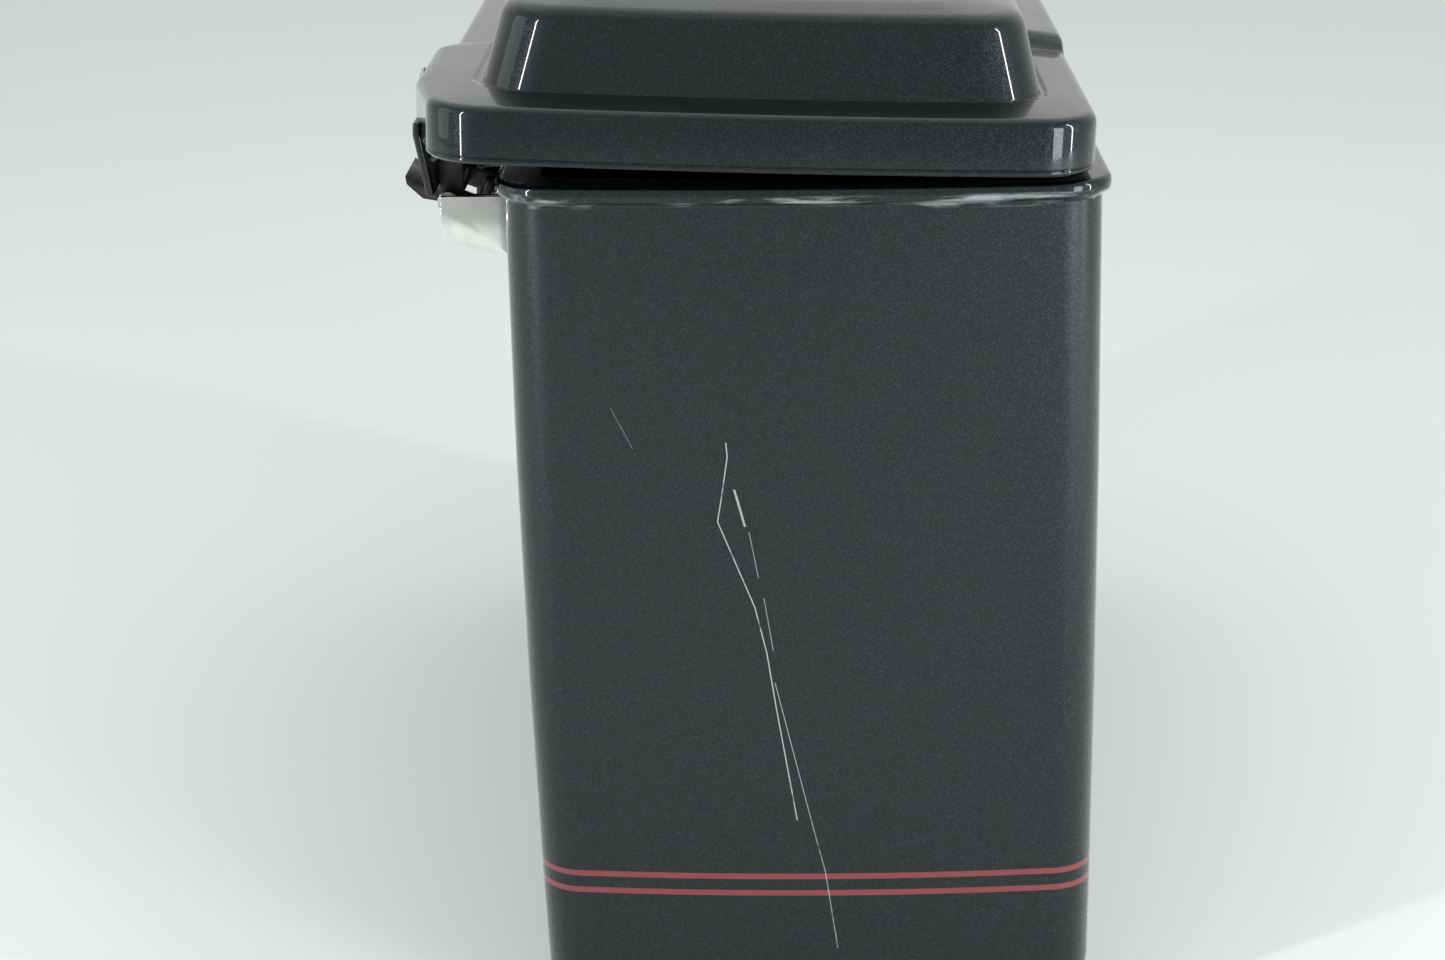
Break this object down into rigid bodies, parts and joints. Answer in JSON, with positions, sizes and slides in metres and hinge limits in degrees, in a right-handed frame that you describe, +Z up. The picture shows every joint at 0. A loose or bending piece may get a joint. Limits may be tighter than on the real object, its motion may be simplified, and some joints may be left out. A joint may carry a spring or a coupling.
{
  "type": "motorcycle hard saddlebag",
  "caption": "Moulded hard saddlebag with a stepped lid that opens outward on hinge arms, a latch lever, lock, seal, check strap and quarter-turn mounting studs.",
  "frame": {"origin": "middle of the whole bag's base, with the lid in its rest position", "axes": "+X inboard, towards the motorcycle; +Y along the bag, towards the motorcycle's front; +Z up"},
  "size_m": [0.281, 0.5848, 0.4158],
  "materials": {
    "body_paint": "dark charcoal metallic paint under gloss clearcoat, thin red pinstripes",
    "black_plastic": "fine textured black plastic",
    "polished_steel": "polished stainless steel with fine rub marks",
    "zinc_steel": "zinc plated steel",
    "dark_casting": "black-brown coated steel and die casting",
    "rubber": "moulded black rubber",
    "webbing": "woven nylon webbing"
  },
  "bodies": {
    "bag": {"bag_shell": "body_paint", "face_plate": "polished_steel", "hinge_bracket": "zinc_steel", "backing_plate": "zinc_steel", "bracket_screw_1": "zinc_steel", "bracket_screw_2": "zinc_steel", "bracket_screw_3": "zinc_steel", "bracket_screw_4": "zinc_steel", "face_plate_screw_1": "zinc_steel", "face_plate_screw_2": "zinc_steel", "rear_stud_grommet": "rubber", "rear_stud_washer": "zinc_steel", "front_stud_grommet": "rubber", "front_stud_washer": "zinc_steel", "check_strap": "webbing", "bag_strap_clip": "black_plastic"},
    "anchor": {"anchor_pin": "zinc_steel"},
    "arms": {"rear_hinge_arm": "dark_casting", "front_hinge_arm": "dark_casting"},
    "lid": {"lid_shell": "body_paint", "lid_inner_panel": "black_plastic", "lid_seal": "rubber", "latch_housing": "dark_casting", "hinge_pin": "zinc_steel", "lock_bezel": "polished_steel", "lid_strap_clip": "black_plastic", "housing_screw_1": "zinc_steel", "housing_screw_2": "zinc_steel", "panel_screw_1": "zinc_steel", "panel_screw_2": "zinc_steel", "panel_screw_3": "zinc_steel", "panel_screw_4": "zinc_steel", "panel_screw_5": "zinc_steel", "panel_screw_6": "zinc_steel"},
    "lever": {"latch_lever": "dark_casting"},
    "lock": {"lock_cylinder": "zinc_steel"},
    "rear_stud": {"rear_mounting_stud": "zinc_steel", "rear_stud_clip": "zinc_steel"},
    "rear_bail": {"rear_bail_wire": "zinc_steel"},
    "front_stud": {"front_mounting_stud": "zinc_steel", "front_stud_clip": "zinc_steel"},
    "front_bail": {"front_bail_wire": "zinc_steel"}
  },
  "joints": [
    {"name": "latch_draw", "type": "hinge", "parent": "bag", "child": "anchor", "pos_m": [0.12405, 0, 0.3545], "axis": [0, -1, 0], "range_deg": [0, 1.9]},
    {"name": "arm_swing", "type": "hinge", "parent": "anchor", "child": "arms", "pos_m": [-0.11087, -0.197, 0.33078], "axis": [0, -1, 0], "range_deg": [0, 8]},
    {"name": "lid_open", "type": "hinge", "parent": "arms", "child": "lid", "pos_m": [-0.12223, -0.197, 0.33515], "axis": [0, -1, 0], "range_deg": [0, 85], "deforming": ["check_strap"]},
    {"name": "lever_fold", "type": "hinge", "parent": "lid", "child": "lever", "pos_m": [-0.12223, -0.197, 0.33515], "axis": [0, 1, 0], "range_deg": [0, 18]},
    {"name": "lock_turn", "type": "hinge", "parent": "lid", "child": "lock", "pos_m": [-0.13301, -0.197, 0.37203], "axis": [0.9995, 0, -0.0332], "range_deg": [0, 90]},
    {"name": "rear_stud_turn", "type": "hinge", "parent": "bag", "child": "rear_stud", "pos_m": [0.11884, -0.15, 0.252], "axis": [1, 0, 0], "range_deg": [0, 90]},
    {"name": "rear_bail_fold", "type": "hinge", "parent": "rear_stud", "child": "rear_bail", "pos_m": [0.11294, -0.15, 0.252], "axis": [0, 1, 0], "range_deg": [0, 90]},
    {"name": "front_stud_turn", "type": "hinge", "parent": "bag", "child": "front_stud", "pos_m": [0.11884, 0.15, 0.252], "axis": [1, 0, 0], "range_deg": [0, 90]},
    {"name": "front_bail_fold", "type": "hinge", "parent": "front_stud", "child": "front_bail", "pos_m": [0.11294, 0.15, 0.252], "axis": [0, 1, 0], "range_deg": [0, 90]}
  ],
  "couplings": [
    {"joint": "lever_fold", "follows": "latch_draw", "ratio": 9.4736}
  ]
}
